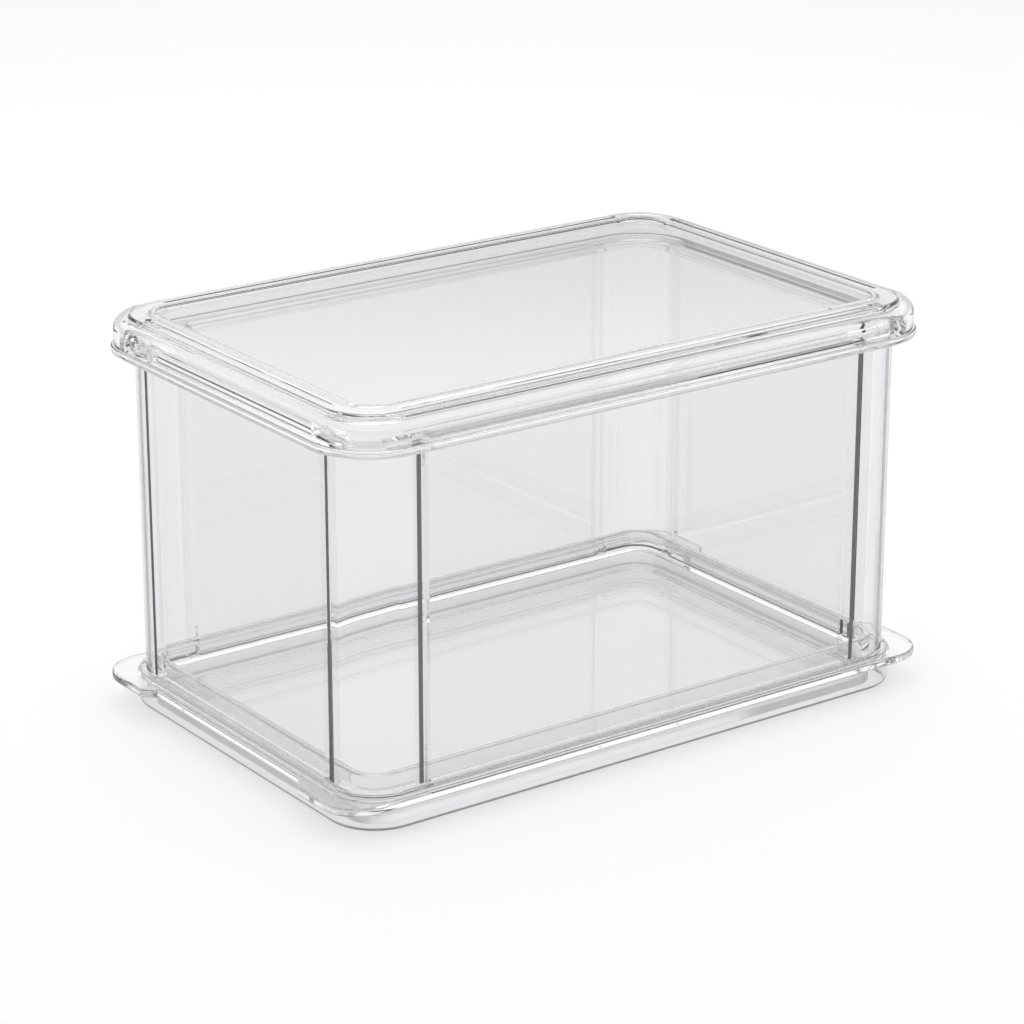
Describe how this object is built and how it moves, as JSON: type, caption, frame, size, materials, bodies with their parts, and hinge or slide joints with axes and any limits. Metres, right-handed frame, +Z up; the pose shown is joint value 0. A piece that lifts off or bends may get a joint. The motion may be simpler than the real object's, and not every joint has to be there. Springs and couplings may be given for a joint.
{
  "type": "clear storage box with lid",
  "caption": "Clear plastic storage box: a flanged base tray with grip tabs, rounded corner posts holding flat wall panels, a top frame and a lift-off lid.",
  "frame": {"origin": "middle of the underside, on the surface that the box stands on", "axes": "+Z up, X along the long side, front at -Y, left side at -X"},
  "size_m": [0.348, 0.23, 0.1983],
  "materials": {
    "clear_moulding": "clear, colourless, polished moulding",
    "clear_sheet": "clear, colourless, glossy sheet"
  },
  "bodies": {
    "box": {"base_tray": "clear_moulding", "corner_post_front_left": "clear_moulding", "corner_post_front_right": "clear_moulding", "corner_post_rear_left": "clear_moulding", "corner_post_rear_right": "clear_moulding", "front_panel": "clear_sheet", "rear_panel": "clear_sheet", "left_panel": "clear_sheet", "right_panel": "clear_sheet", "top_frame": "clear_moulding"},
    "lid": {"lid_frame": "clear_moulding", "lid_panel": "clear_sheet"}
  },
  "joints": [
    {"name": "lid_lift", "type": "slide", "parent": "box", "child": "lid", "axis": [0, 0, 1], "range_m": [0, 0.12]}
  ]
}
